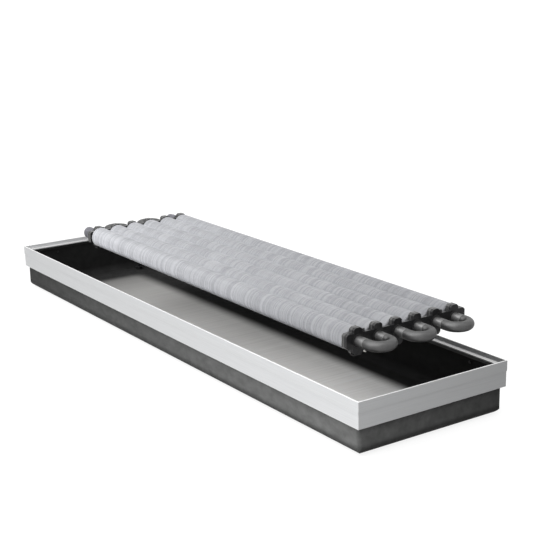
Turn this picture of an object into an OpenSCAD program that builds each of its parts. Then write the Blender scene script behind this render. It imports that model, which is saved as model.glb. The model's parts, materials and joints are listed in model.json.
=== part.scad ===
// Trench convector heater: a drawn steel trough with an aluminium rim, and its
// six-tube finned heat exchanger lifted straight up out of the trough.
// X runs along the length to the return-bend end, Y across, Z up.
// The origin is the centre of the trough's underside.

/* [Trough] */
// Overall length over the rim
heater_l = 1500; // [1350:50:3000]
// Overall width over the rim
heater_w = 380; // [372:2:480]
// Height from the trough's underside to the top of the rim
heater_h = 114; // [112:1:160]
// Thickness of the trough's sheet steel
sheet_t = 1.5; // [1:0.1:2]
// Outside radius along the bottom edges
bottom_edge_r = 20; // [12:1:24]
// Outside radius of the four upright corners
upright_r = 9; // [5:1:14]

/* [Rim frame] */
// Height of the rim frame's outer plate
frame_h = 55.4; // [46:0.2:58]
// Thickness of the outer plate
plate_t = 3; // [2.4:0.1:3.6]
// Space between the outer plate and the trough wall
wall_gap = 3.5; // [3:0.1:5]
// Depth of the step where the plate's upper part stands proud
step_d = 1; // [0.4:0.1:1.4]
// Height of the proud upper part
step_h = 22; // [14:1:28]
// Depth of the grille ledge below the top edge
ledge_drop = 9.5; // [6:0.5:20]
// Thickness of the grille ledge
ledge_t = 2.5; // [2:0.1:3]
// Reach of the ledge past the trough's inner face
ledge_lip = 6; // [3:0.5:10]
// Small bevel on the top edges of the plate
edge_bevel = 0.5; // [0.2:0.1:0.8]

/* [Finned tubes] */
// Outside diameter of the steel tube
tube_d = 21.3; // [18:0.1:22]
// Wall thickness of the steel tube
tube_wall = 2; // [1.6:0.1:2.4]
// Outside diameter of the fins
fin_d = 48.8; // [46:0.2:49.6]
// Free space between the fins of neighbouring tubes
fin_side_gap = 0.4; // [0.3:0.1:2]
// Length of the finned stretch
fin_l = 1054; // [700:2:1090]
// Spacing from fin to fin
fin_pitch = 6; // [4:0.5:12]
// Thickness of a fin
fin_t = 0.8; // [0.5:0.1:1.2]
// Thickness of the fins' foot collars on the tube
collar_t = 0.6; // [0.4:0.1:1]

/* [Tube ends] */
// Distance from the fins to the trough's end at the return-bend end
end_reserve = 100; // [98:1:140]
// Length of bare tube past the fins
stub_l = 40; // [36:1:42]
// Straight lead of a return bend
bend_lead = 8; // [7:0.5:9]
// Depth of the groove where tube and bend are joined
groove_d = 0.9; // [0.4:0.1:1.2]

/* [End brackets] */
// Thickness of a bracket, along X
bracket_t = 15; // [13:0.5:17]
// Half width of an upper lobe
top_lobe_w = 10; // [9:0.5:12]
// Reach of an upper lobe above the tube axis
top_lobe_h = 26; // [25.5:0.5:29]
// Half width of a lower lobe
low_lobe_w = 12.5; // [12:0.5:14]
// Reach of a lower lobe below the tube axis
low_lobe_h = 27.8; // [26:0.2:29]
// Reach of the outer side lobes
side_lobe = 27.9; // [26:0.1:29]
// Half height of the web between the tubes
web_h = 15; // [14.8:0.1:17]
// Thickness of the front plate, along X
front_t = 6.4; // [6:0.1:7]
// Thickness of the rubber bush round a tube
bush_t = 2; // [1.9:0.1:2.1]
// Thickness of the rubber pads that the brackets stand on
pad_t = 2.4; // [1.5:0.1:5]

/* [Lifted position] */
// Free height between the rim and the fins while the exchanger is lifted out
lift_clear = 58.2; // [40:0.2:120]

/* [Connections] */
// Length of bare tube past the fins where a union nut sits
union_stub = 20; // [18:0.5:40]
// Diameter of the union nuts' round sleeves
union_d = 29; // [28:0.1:32]
// Width of the union nuts over the flats
union_flats = 28.5; // [27.6:0.1:32]
// Diameter inside the union nuts' thread
union_thread_d = 24.1; // [23.9:0.1:24.3]
// Diameter of the pipe that a wall grommet takes
pipe_d = 22; // [15:1:22]

/* [Hidden] */
$fn = 48;
// One overrun for every cut
over = 1;
// Clearance of parts that are put together by hand
fit_gap = 0.3;
// Radial clearance of parts that turn in each other
turn_gap = 0.05;
// Fine clearance round what is pushed on to a tube or into a bracket
push_gap = 0.02;

tube_count = 6;
tube_r = tube_d / 2;
bore_r = tube_r - tube_wall;
fin_r = fin_d / 2;
tube_pitch = fin_d + fin_side_gap;
collar_r = tube_r + collar_t;

rim_inset = plate_t + wall_gap;
inner_l = heater_l - 2 * (rim_inset + sheet_t);
inner_w = heater_w - 2 * (rim_inset + sheet_t);
frame_bot = heater_h - frame_h;
ledge_top = heater_h - ledge_drop;
ledge_bot = ledge_top - ledge_t;

// The hook behind the ledge holds the top edge of the trough's sheet
hook_t = 1.6;
hook_h = 8;
// The bottom flange and the screw rib close the space to the trough wall
flange_t = 2;
rib_top_drop = 13;
rib_h = 9;
rib_top = ledge_bot - rib_top_drop;
rib_bot = rib_top - rib_h;
screw_z = rib_bot + rib_h / 2;
ledge_reach = rim_inset + sheet_t + ledge_lip;

// Corner keys lie in the space between plate and wall
key_t = 2.8;
key_leg = 32;
key_gap = 1.5;

// Frame screws, driven from inside through the wall into the rib
screw_r = 1.5;
screw_head_r = 3;
screw_head_h = 2;
screw_depth = 4.6;
socket_r = 1.25;
socket_d = 1.2;
long_screws = 5;
end_screws = 2;
screw_margin = 90;

// Pipe entries in the far end wall, with flanged rubber sleeves that hold the pipe at a lip
grommet_rim = 3;
grommet_wall = 2;
grommet_flange = 2;
grommet_lip = 1.7;
grommet_relief = 0.8;
grommet_reach = 2;
entry_hole_r = pipe_d / 2 + grommet_wall;
entry_drop = 19;
entry_side = 36;
entry_pitch = 46;
entry_y = [entry_side - inner_w / 2, entry_side + entry_pitch - inner_w / 2];
entry_z = frame_bot - entry_drop;

// Levelling screws with nuts welded to the trough floor
level_r = 4;
level_l = 40;
level_nut_r = 10;
level_nut_h = 8;
level_inset = 36;
level_hole_gap = 0.6;
level_socket_r = 2.3;
level_socket_d = 4;
level_tip_r = 2.8;
level_tip_h = 3;
level_x = inner_l / 2 - level_inset;
level_y = inner_w / 2 - level_inset;

// Exchanger places
near_x = heater_l / 2 - end_reserve;
far_x = near_x - fin_l;
axis_z = heater_h + lift_clear + fin_r;
seated_z = sheet_t + fit_gap + pad_t + low_lobe_h;
lift_travel = axis_z - seated_z;

// Bracket details
side_top = 16;
side_low = 14.5;
web_back_h = 10;
back_t = bracket_t - front_t;
lobe_chamfer = 4;
low_chamfer = 5;
rim_wall = 2.5;
seam_w = 1.2;
seam_d = 0.7;
bush_flange_t = 1;
bush_flange_w = 0.8;
bush_r = tube_r + bush_t;
bolt_offset = 15;
bolt_r = 1.5;
bolt_depth = 9;
bolt_head_r = 2.9;
bolt_head_h = 5;
bolt_washer_r = front_t / 2;
bolt_washer_h = 1.4;
bolt_pairs = [1, tube_count - 1];
pad_l = 11;
pad_w = 19;
pad_peg_r = 2;
pad_peg_h = 4;
pad_tubes = [1, tube_count];
pad_bevel = 0.6;

// Return bends
bend_r = tube_pitch / 2;

// Union joints on tubes 1 and 6
union_start = 11;
union_back = 9;
union_l = 34;
union_hex_l = 20;
union_bevel = 1.5;
nipple_collar_t = 4;
nipple_collar_r = union_thread_d / 2 - 3 * turn_gap;
collar_x = union_start + union_back + fit_gap;
gasket_t = 2;
relief_d = 0.5;
relief_l = nipple_collar_t + gasket_t + 2 * fit_gap;
union_tubes = [1, tube_count];

// Vent screw in a boss under the first bend
vent_angle = 58;
vent_boss_r = 3.2;
vent_boss_h = 2.4;
vent_sink = 1.2;
vent_shank_r = 1.6;
vent_head_r = 2.7;
vent_head_h = 1.7;
vent_slot_w = 0.7;
vent_slot_d = 0.7;

function tube_y(number) = (number - (tube_count + 1) / 2) * tube_pitch;
function far_stub(number) = len(search(number, union_tubes)) > 0 ? union_stub : stub_l;
fin_gaps = floor((fin_l - fin_t) / fin_pitch);
fin_step = (fin_l - fin_t) / fin_gaps;

// Plan outline with round corners
module round_plan(length, width, radius) {
    square([length - 2 * radius, width], center = true);
    square([length, width - 2 * radius], center = true);
    for (sx = [-1, 1], sy = [-1, 1])
        translate([sx * (length / 2 - radius), sy * (width / 2 - radius)]) circle(radius);
}

// Upright section with round lower corners, standing on zero
module drawn_section(width, height, radius) {
    translate([-width / 2, radius]) square([width, height - radius]);
    translate([-(width / 2 - radius), 0]) square([width - 2 * radius, height]);
    for (side = [-1, 1]) translate([side * (width / 2 - radius), radius]) circle(radius);
}

// Solid of the trough's outside, or of its inside where inset is the sheet
module drawn_body(length, width, height, inset) {
    edge = bottom_edge_r - inset;
    intersection() {
        linear_extrude(height) round_plan(length, width, upright_r - inset);
        translate([-length / 2, 0, 0]) rotate([90, 0, 90])
            linear_extrude(length) drawn_section(width, height, edge);
        translate([0, width / 2, 0]) rotate([90, 0, 0])
            linear_extrude(width) drawn_section(length, height, edge);
    }
}

// Puts its child at each frame screw, with +X pointing out through the wall
module at_frame_screws() {
    long_step = (inner_l - 2 * screw_margin) / (long_screws - 1);
    end_step = (inner_w - 2 * screw_margin) / (end_screws - 1);
    for (side = [-1, 1], i = [0 : long_screws - 1])
        translate([i * long_step - inner_l / 2 + screw_margin, side * inner_w / 2, screw_z])
            rotate([0, 0, side * 90]) children();
    for (side = [0, 1], i = [0 : end_screws - 1])
        rotate([0, 0, side * 180])
            translate([inner_l / 2, i * end_step - inner_w / 2 + screw_margin, screw_z]) children();
}

// Puts its child at each levelling screw
module at_level_screws() {
    for (sx = [-1, 1], sy = [-1, 1]) translate([sx * level_x, sy * level_y, 0]) children();
}

// Puts its child on each pipe entry's axis, at the wall's outer face, with +X inwards
module at_pipe_entries() {
    for (y = entry_y) translate([-heater_l / 2 + rim_inset, y, entry_z]) children();
}

module along_x() {
    rotate([0, 90, 0]) children();
}

module trough() color("#2b2b2d") difference() {
    drawn_body(inner_l + 2 * sheet_t, inner_w + 2 * sheet_t, ledge_bot, 0);
    translate([0, 0, sheet_t]) drawn_body(inner_l, inner_w, heater_h, sheet_t);
    at_frame_screws() translate([-over, 0, 0]) along_x()
        cylinder(r = screw_r + fit_gap, h = sheet_t + 2 * over);
    at_level_screws() translate([0, 0, -over]) cylinder(r = level_r + level_hole_gap, h = sheet_t + 2 * over);
    at_pipe_entries() translate([-over, 0, 0]) along_x()
        cylinder(r = entry_hole_r, h = sheet_t + grommet_reach + 2 * over);
}

// Section of the rim: x runs inwards from the outer face, y is the height
module frame_section() polygon([
    [step_d, frame_bot], [step_d, heater_h - step_h], [0, heater_h - step_h], [0, heater_h - edge_bevel],
    [edge_bevel, heater_h], [plate_t - edge_bevel, heater_h], [plate_t, heater_h - edge_bevel],
    [plate_t, ledge_top], [ledge_reach, ledge_top], [ledge_reach, ledge_bot], [plate_t, ledge_bot],
    [plate_t, rib_top], [rim_inset, rib_top], [rim_inset, rib_bot], [plate_t, rib_bot],
    [plate_t, frame_bot + flange_t], [rim_inset, frame_bot + flange_t], [rim_inset, frame_bot]
]);

// The hook under the ledge, cut short of the trough's round corners
module frame_hook(length) {
    hook_l = length - 2 * (rim_inset + upright_r + fit_gap);
    translate([-hook_l / 2, rim_inset + sheet_t + fit_gap, ledge_bot - hook_h])
        cube([hook_l, hook_t, hook_h + ledge_t / 2]);
}

// A mitred length of the rim, its outer face on y = 0
module frame_member(length) {
    reach = ledge_reach + over;
    intersection() {
        translate([-length / 2, 0, 0]) rotate([90, 0, 90]) linear_extrude(length) frame_section();
        linear_extrude(heater_h + over) polygon([
            [-length / 2, 0], [length / 2, 0], [length / 2 - reach, reach], [reach - length / 2, reach]
        ]);
    }
}

// A member in its place, with the blind screw holes in its rib
module frame_piece(length, across, turn) {
    color("#d9dadc") difference() {
        rotate([0, 0, turn]) translate([0, -across / 2, 0]) {
            frame_member(length);
            frame_hook(length);
        }
        at_frame_screws() along_x() cylinder(r = screw_r, h = screw_depth);
    }
}

module frame_front() frame_piece(heater_l, heater_w, 0);
module frame_back() frame_piece(heater_l, heater_w, 180);
module frame_near_end() frame_piece(heater_w, heater_l, 90);
module frame_far_end() frame_piece(heater_w, heater_l, 270);

// An angle in each corner, between the plate and the trough wall
module frame_corner_keys() color("#a9abad") {
    key_bot = frame_bot + flange_t + key_gap;
    key_top = rib_bot - key_gap;
    for (sx = [0, 1], sy = [0, 1]) mirror([sx, 0, 0]) mirror([0, sy, 0])
        translate([heater_l / 2 - plate_t, heater_w / 2 - plate_t, key_bot]) linear_extrude(key_top - key_bot)
            difference() {
                translate([-key_leg, -key_leg]) square(key_leg);
                translate([-key_leg - over, -key_leg - over]) square(key_leg - key_t + over);
            }
}

module frame_screws() color("#3a3b3d") at_frame_screws() {
    difference() {
        translate([-screw_head_h, 0, 0]) along_x() cylinder(r = screw_head_r, h = screw_head_h);
        translate([-screw_head_h - over, 0, 0]) along_x()
            cylinder(r = socket_r, h = socket_d + over, $fn = 6);
    }
    along_x() cylinder(r = screw_r, h = screw_depth);
}

// A flanged rubber sleeve in each pipe entry, its lip at the outer end
module pipe_grommets() color("#141414") at_pipe_entries() translate([-grommet_flange, 0, 0]) along_x()
    rotate_extrude() {
        sleeve_l = grommet_flange + sheet_t + grommet_reach;
        polygon([
            [pipe_d / 2, 0], [entry_hole_r + grommet_rim, 0], [entry_hole_r + grommet_rim, grommet_flange],
            [entry_hole_r, grommet_flange], [entry_hole_r, sleeve_l], [pipe_d / 2 + grommet_relief, sleeve_l],
            [pipe_d / 2 + grommet_relief, grommet_lip], [pipe_d / 2, grommet_lip]
        ]);
    }

module level_nuts() color("#55575a") at_level_screws() translate([0, 0, sheet_t]) difference() {
    cylinder(r = level_nut_r, h = level_nut_h);
    translate([0, 0, -over]) cylinder(r = level_r, h = level_nut_h + 2 * over);
}

// A set screw with a hexagon socket and a reduced tip, its tip just clear of the ground
module level_screw(sx, sy) color("#8d9094") translate([sx * level_x, sy * level_y, fit_gap]) difference() {
    rod_r = level_r - turn_gap;
    union() {
        cylinder(r = level_tip_r, h = level_tip_h);
        translate([0, 0, level_tip_h]) cylinder(r = rod_r, h = level_l - level_tip_h);
    }
    translate([0, 0, level_l - level_socket_d])
        cylinder(r = level_socket_r, h = level_socket_d + over, $fn = 6);
}

module level_screw_front_near() level_screw(1, -1);
module level_screw_front_far() level_screw(-1, -1);
module level_screw_back_near() level_screw(1, 1);
module level_screw_back_far() level_screw(-1, 1);

// The two ends of the exchanger: x runs outwards from the last fin, z from the tube axes
module at_near_end() {
    translate([near_x, 0, axis_z]) children();
}

module at_far_end() {
    translate([far_x, 0, axis_z]) mirror([1, 0, 0]) children();
}

// A tube with its ends tapered for the weld
module core_tube(number) color("#7d8083")
    translate([far_x - far_stub(number), tube_y(number), axis_z]) along_x() rotate_extrude() {
        full = far_stub(number) + fin_l + stub_l;
        polygon([
            [bore_r, 0], [tube_r - groove_d, 0], [tube_r, groove_d],
            [tube_r, full - groove_d], [tube_r - groove_d, full], [bore_r, full]
        ]);
    }

// The fins of one tube with their foot collars, as one revolved comb
module fin_pack(number) color("#c6cad0")
    translate([far_x, tube_y(number), axis_z]) along_x() rotate_extrude() polygon(concat(
        [[tube_r + push_gap, 0]],
        [for (i = [0 : fin_gaps - 1]) each [
            [fin_r, i * fin_step], [fin_r, i * fin_step + fin_t],
            [collar_r, i * fin_step + fin_t], [collar_r, (i + 1) * fin_step]
        ]],
        [[fin_r, fin_l - fin_t], [fin_r, fin_l], [tube_r + push_gap, fin_l]]
    ));

module core_tube_1() core_tube(1);
module core_tube_2() core_tube(2);
module core_tube_3() core_tube(3);
module core_tube_4() core_tube(4);
module core_tube_5() core_tube(5);
module core_tube_6() core_tube(6);
module fin_pack_1() fin_pack(1);
module fin_pack_2() fin_pack(2);
module fin_pack_3() fin_pack(3);
module fin_pack_4() fin_pack(4);
module fin_pack_5() fin_pack(5);
module fin_pack_6() fin_pack(6);

// A half ring with two short leads, between a tube and the next one
module return_bend(first) {
    translate([stub_l, tube_y(first) + bend_r, 0]) {
        for (side = [-1, 1]) translate([0, side * bend_r, 0]) along_x() rotate_extrude() polygon([
            [bore_r, 0], [tube_r - groove_d, 0], [tube_r, groove_d], [tube_r, bend_lead], [bore_r, bend_lead]
        ]);
        translate([bend_lead, 0, 0]) rotate([0, 0, -90]) rotate_extrude(angle = 180)
            translate([bend_r, 0]) difference() {
                circle(tube_r);
                circle(bore_r);
            }
    }
}

// Puts its child on the vent's axis, at the first bend's lead, with +Z pointing out
module at_vent() {
    translate([stub_l + bend_lead / 2, tube_y(1), 0]) rotate([90 + vent_angle, 0, 0]) children();
}

module return_bend_1_2() color("#84878a") at_near_end() {
    difference() {
        union() {
            return_bend(1);
            at_vent() translate([0, 0, tube_r - vent_sink])
                cylinder(r = vent_boss_r, h = vent_boss_h + vent_sink);
        }
        at_vent() translate([0, 0, bore_r - vent_sink])
            cylinder(r = vent_shank_r + turn_gap, h = tube_wall + vent_boss_h + vent_sink + over);
    }
}

module return_bend_3_4() color("#84878a") at_near_end() return_bend(3);
module return_bend_5_6() color("#84878a") at_near_end() return_bend(5);
module return_bend_2_3() color("#84878a") at_far_end() return_bend(2);
module return_bend_4_5() color("#84878a") at_far_end() return_bend(4);

// One arm of the bracket: half width, reach and corner chamfer, pointing to +y
module lobe(half, reach, cut) {
    polygon([
        [-half, 0], [-half, reach - cut], [cut - half, reach],
        [half - cut, reach], [half, reach - cut], [half, 0]
    ]);
}

// Face of an end bracket with its web up to web_top, drawn in by inset all round
module bracket_face(inset, web_top) {
    for (i = [1 : tube_count]) translate([tube_y(i), 0]) {
        lobe(top_lobe_w - inset, top_lobe_h - inset, lobe_chamfer);
        rotate(180) lobe(low_lobe_w - inset, low_lobe_h - inset, low_chamfer);
        circle(bush_r + rim_wall - inset);
    }
    for (side = [-1, 1]) translate([side * tube_y(tube_count), (side_top - side_low) / 2])
        rotate(-side * 90) lobe((side_top + side_low) / 2 - inset, side_lobe - inset, lobe_chamfer);
    translate([tube_y(1), inset - web_h])
        square([tube_y(tube_count) - tube_y(1), web_top + web_h - 2 * inset]);
}

// A moulded end bracket: a front plate, a seam line, and a lower web behind that is open towards the fins
module end_bracket() difference() {
    rotate([90, 0, 90]) {
        linear_extrude(back_t) bracket_face(0, web_back_h);
        translate([0, 0, back_t]) linear_extrude(seam_w) bracket_face(seam_d, web_h);
        translate([0, 0, back_t + seam_w]) linear_extrude(front_t - seam_w) bracket_face(0, web_h);
    }
    translate([-over, 0, 0]) rotate([90, 0, 90]) linear_extrude(back_t + over) difference() {
        bracket_face(rim_wall, web_back_h);
        for (i = [1 : tube_count]) translate([tube_y(i), 0]) circle(bush_r + rim_wall);
        for (i = pad_tubes) translate([tube_y(i) - pad_peg_r - rim_wall, -low_lobe_h])
            square([2 * (pad_peg_r + rim_wall), low_lobe_h]);
    }
    for (i = [1 : tube_count]) translate([-over, tube_y(i), 0]) along_x()
        cylinder(r = bush_r + push_gap, h = bracket_t + 2 * over);
    for (i = bolt_pairs) translate([bracket_t - front_t / 2, tube_y(i) + bolt_offset, web_h - bolt_depth])
        cylinder(r = bolt_r, h = bolt_depth + over);
    for (i = pad_tubes) translate([bracket_t / 2, tube_y(i), -low_lobe_h - over])
        cylinder(r = pad_peg_r, h = pad_peg_h + over);
}

module end_bracket_near() color("#242527") at_near_end() end_bracket();
module end_bracket_far() color("#242527") at_far_end() end_bracket();

// Rubber bushes that hold the tubes in a bracket
module tube_bushes() {
    for (i = [1 : tube_count]) translate([0, tube_y(i), 0]) along_x() difference() {
        union() {
            cylinder(r = bush_r, h = bracket_t + bush_flange_t);
            translate([0, 0, bracket_t]) cylinder(r = bush_r + bush_flange_w, h = bush_flange_t);
        }
        translate([0, 0, -over]) cylinder(r = tube_r + push_gap, h = bracket_t + bush_flange_t + 2 * over);
    }
}

module tube_bushes_near() color("#111112") at_near_end() tube_bushes();
module tube_bushes_far() color("#111112") at_far_end() tube_bushes();

// Hexagon bolts with washers, upright in the brackets' webs
module bracket_bolt_set() {
    for (i = bolt_pairs) translate([bracket_t - front_t / 2, tube_y(i) + bolt_offset, web_h]) {
        translate([0, 0, -bolt_depth]) cylinder(r = bolt_r, h = bolt_depth);
        cylinder(r = bolt_washer_r, h = bolt_washer_h);
        translate([0, 0, bolt_washer_h]) cylinder(r = bolt_head_r, h = bolt_head_h, $fn = 6);
    }
}

module bracket_bolts() color("#5e6164") {
    at_near_end() bracket_bolt_set();
    at_far_end() bracket_bolt_set();
}

// Rubber pads pegged into the outer lower lobes
module foot_pad_set() {
    for (i = pad_tubes) translate([bracket_t / 2, tube_y(i), -low_lobe_h]) {
        cylinder(r = pad_peg_r, h = pad_peg_h);
        translate([-pad_l / 2, 0, -pad_t]) rotate([90, 0, 90]) linear_extrude(pad_l) polygon([
            [pad_bevel - pad_w / 2, 0], [pad_w / 2 - pad_bevel, 0], [pad_w / 2, pad_bevel],
            [pad_w / 2, pad_t], [-pad_w / 2, pad_t], [-pad_w / 2, pad_bevel]
        ]);
    }
}

module foot_pads() color("#161616") {
    at_near_end() foot_pad_set();
    at_far_end() foot_pad_set();
}

// Nipple welded to a tube, with the collar that the union nut pulls on
module nipple(number) color("#6f757c") at_far_end() translate([union_stub, tube_y(number), 0])
    along_x() rotate_extrude() polygon([
        [bore_r, 0], [tube_r - groove_d, 0], [tube_r, groove_d], [tube_r, collar_x],
        [nipple_collar_r, collar_x], [nipple_collar_r, collar_x + nipple_collar_t],
        [bore_r, collar_x + nipple_collar_t]
    ]);

module supply_nipple() nipple(union_tubes[0]);
module return_nipple() nipple(union_tubes[1]);

// Flat sealing ring on the end of each nipple
module union_gaskets() color("#1d1d1e") at_far_end() for (i = union_tubes)
    translate([union_stub + collar_x + nipple_collar_t, tube_y(i), 0]) along_x() difference() {
        cylinder(r = nipple_collar_r, h = gasket_t);
        translate([0, 0, -over]) cylinder(r = bore_r, h = gasket_t + 2 * over);
    }

// Union nut: a bevelled hexagon with a round sleeve, free to turn on its nipple
module union_nut(number) color("#7b828b") at_far_end()
    translate([union_stub + union_start, tube_y(number), 0]) along_x() difference() {
        hex_r = union_flats / 2 / cos(30);
        union() {
            intersection() {
                cylinder(r = hex_r, h = union_hex_l, $fn = 6);
                rotate_extrude() polygon([
                    [0, 0], [hex_r - union_bevel, 0], [hex_r, union_bevel],
                    [hex_r, union_hex_l - union_bevel], [hex_r - union_bevel, union_hex_l], [0, union_hex_l]
                ]);
            }
            translate([0, 0, union_hex_l]) cylinder(r = union_d / 2, h = union_l - union_hex_l);
        }
        translate([0, 0, -over]) cylinder(r = tube_r + turn_gap, h = union_back + 2 * over);
        translate([0, 0, union_back]) cylinder(r = union_thread_d / 2 + relief_d, h = relief_l);
        translate([0, 0, union_back]) cylinder(r = union_thread_d / 2, h = union_l);
    }

module union_nut_supply() union_nut(union_tubes[0]);
module union_nut_return() union_nut(union_tubes[1]);

// Slotted screw that seats on its boss
module vent_screw() color("#c9c3b2") at_near_end() at_vent() difference() {
    union() {
        translate([0, 0, bore_r]) cylinder(r = vent_shank_r, h = tube_wall + vent_boss_h);
        translate([0, 0, tube_r + vent_boss_h]) cylinder(r = vent_head_r, h = vent_head_h);
    }
    translate([-vent_head_r - over, -vent_slot_w / 2, tube_r + vent_boss_h + vent_head_h - vent_slot_d])
        cube([2 * (vent_head_r + over), vent_slot_w, vent_slot_d + over]);
}

trough();
frame_front();
frame_back();
frame_near_end();
frame_far_end();
frame_corner_keys();
frame_screws();
pipe_grommets();
level_nuts();
level_screw_front_near();
level_screw_front_far();
level_screw_back_near();
level_screw_back_far();
core_tube_1();
core_tube_2();
core_tube_3();
core_tube_4();
core_tube_5();
core_tube_6();
fin_pack_1();
fin_pack_2();
fin_pack_3();
fin_pack_4();
fin_pack_5();
fin_pack_6();
return_bend_1_2();
return_bend_3_4();
return_bend_5_6();
return_bend_2_3();
return_bend_4_5();
end_bracket_near();
end_bracket_far();
tube_bushes_near();
tube_bushes_far();
bracket_bolts();
foot_pads();
supply_nipple();
return_nipple();
union_gaskets();
union_nut_supply();
union_nut_return();
vent_screw();
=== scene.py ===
import json
import math
import bpy
from mathutils import Matrix, Vector


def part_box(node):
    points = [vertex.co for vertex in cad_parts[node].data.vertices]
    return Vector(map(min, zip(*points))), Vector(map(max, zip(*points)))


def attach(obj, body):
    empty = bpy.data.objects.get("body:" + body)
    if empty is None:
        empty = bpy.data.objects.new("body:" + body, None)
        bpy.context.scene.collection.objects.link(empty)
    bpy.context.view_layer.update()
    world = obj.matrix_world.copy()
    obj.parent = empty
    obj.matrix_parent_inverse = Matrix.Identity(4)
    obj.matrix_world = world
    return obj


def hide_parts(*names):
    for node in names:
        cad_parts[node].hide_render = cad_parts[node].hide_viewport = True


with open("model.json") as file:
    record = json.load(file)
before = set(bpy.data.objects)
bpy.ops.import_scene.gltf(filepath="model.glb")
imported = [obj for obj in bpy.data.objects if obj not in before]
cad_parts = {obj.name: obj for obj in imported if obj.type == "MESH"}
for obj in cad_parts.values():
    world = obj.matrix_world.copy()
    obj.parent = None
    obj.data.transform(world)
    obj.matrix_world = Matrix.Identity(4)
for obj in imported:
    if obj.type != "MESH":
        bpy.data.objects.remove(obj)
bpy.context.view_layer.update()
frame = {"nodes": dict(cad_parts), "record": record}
scene = bpy.context.scene
scene.view_settings.view_transform = "Standard"
nodes = frame["nodes"]
plainWhite = (1, 1, 1, 1)
palest = (0.97, 0.97, 0.97)  # no finish gets paler than this
evenly = (1.0, 1.0, 1.0)  # a pattern that isn't stretched
sideways = 0.5  # a face looks one way when its normal's share that way is above this


# small helpers for node trees

def put(tree, kind, place=(0, 0), inputs=None, **settings):
    node = tree.nodes.new(kind)
    node.location = (place[0] * 200, place[1] * 160)
    for name, value in settings.items():
        setattr(node, name, value)
    for name, value in (inputs or {}).items():
        node.inputs[name].default_value = value
    return node


def join(tree, source, output, target, socket):
    tree.links.new(source.outputs[output], target.inputs[socket])


def newGroup(name, kind, ins, outs):
    group = bpy.data.node_groups.new(name, kind)
    for socketName, socketType, value in ins:
        socket = group.interface.new_socket(socketName, in_out="INPUT", socket_type=socketType)
        if value is not None:
            socket.default_value = value
    for socketName, socketType in outs:
        group.interface.new_socket(socketName, in_out="OUTPUT", socket_type=socketType)
    return group


def placeGroup(tree, group, place, inputs):
    node = put(tree, "ShaderNodeGroup", place, node_tree=group)
    for name, value in inputs.items():
        node.inputs[name].default_value = value
    return node


# camera, fitted to the edges measured in the photograph

viewpoint = {
    "place": (2.40639, -1.50919, 0.94119),
    "azimuth": 55.7196,
    "elevation": 15.184,
    "roll": -1.0601,
    "lens": 82.136,
    "sensor": 36.0,
}


def makeCamera():
    camera = bpy.data.objects.new("camera", bpy.data.cameras.new("camera"))
    scene.collection.objects.link(camera)
    turn = Matrix.Rotation(math.radians(viewpoint["azimuth"]), 4, "Z")
    tip = Matrix.Rotation(math.radians(90 - viewpoint["elevation"]), 4, "X")
    roll = Matrix.Rotation(math.radians(viewpoint["roll"]), 4, "Z")
    camera.matrix_world = Matrix.Translation(viewpoint["place"]) @ turn @ tip @ roll
    camera.data.lens = viewpoint["lens"]
    camera.data.sensor_width = viewpoint["sensor"]
    camera.data.clip_end = 500
    scene.camera = camera


makeCamera()
print("camera placed")


# studio: white surroundings, a very soft key from the front with a small crisp one in it for the
# highlights, a soft fill from behind, a pale floor

studio = {
    "keyFrom": (-0.22, -0.57, 0.80),
    "keyStrength": 3.2,
    "keySoftness": 90.0,
    "glintFrom": (-0.21, -0.66, 0.73),
    "glintStrength": 0.35,
    "glintSoftness": 22.0,
    "fillFrom": (0.0, 0.6, 0.8),
    "fillStrength": 1.3,
    "fillSoftness": 100.0,
    "ambient": 0.19,
    "floorHalf": 60.0,
    "floorDrop": 0.0005,
    "floorGlow": 0.86,
    "floorPaint": 0.2,
    "floorBounce": 0.15,
}


def seenRay(tree):
    # 1 for what the camera, a gloss or a clear material sees
    path = put(tree, "ShaderNodeLightPath", (-4, 0))
    first = put(tree, "ShaderNodeMath", (-3, 0), operation="MAXIMUM")
    both = put(tree, "ShaderNodeMath", (-2, 0), operation="MAXIMUM")
    join(tree, path, "Is Camera Ray", first, 0)
    join(tree, path, "Is Glossy Ray", first, 1)
    join(tree, first, 0, both, 0)
    join(tree, path, "Is Transmission Ray", both, 1)
    return both


def makeWorld():
    world = bpy.data.worlds.new("studioWorld")
    world.use_nodes = True
    world.cycles.sampling_method = "NONE"
    tree = world.node_tree
    tree.nodes.clear()
    seen = seenRay(tree)
    dim = put(tree, "ShaderNodeBackground", (-1, 1), {
        "Color": plainWhite, "Strength": studio["ambient"],
    })
    white = put(tree, "ShaderNodeBackground", (-1, -1), {"Color": plainWhite, "Strength": 1.0})
    mix = put(tree, "ShaderNodeMixShader", (0, 0))
    out = put(tree, "ShaderNodeOutputWorld", (1, 0))
    join(tree, seen, 0, mix, 0)
    join(tree, dim, 0, mix, 1)
    join(tree, white, 0, mix, 2)
    join(tree, mix, 0, out, 0)
    scene.world = world


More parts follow.
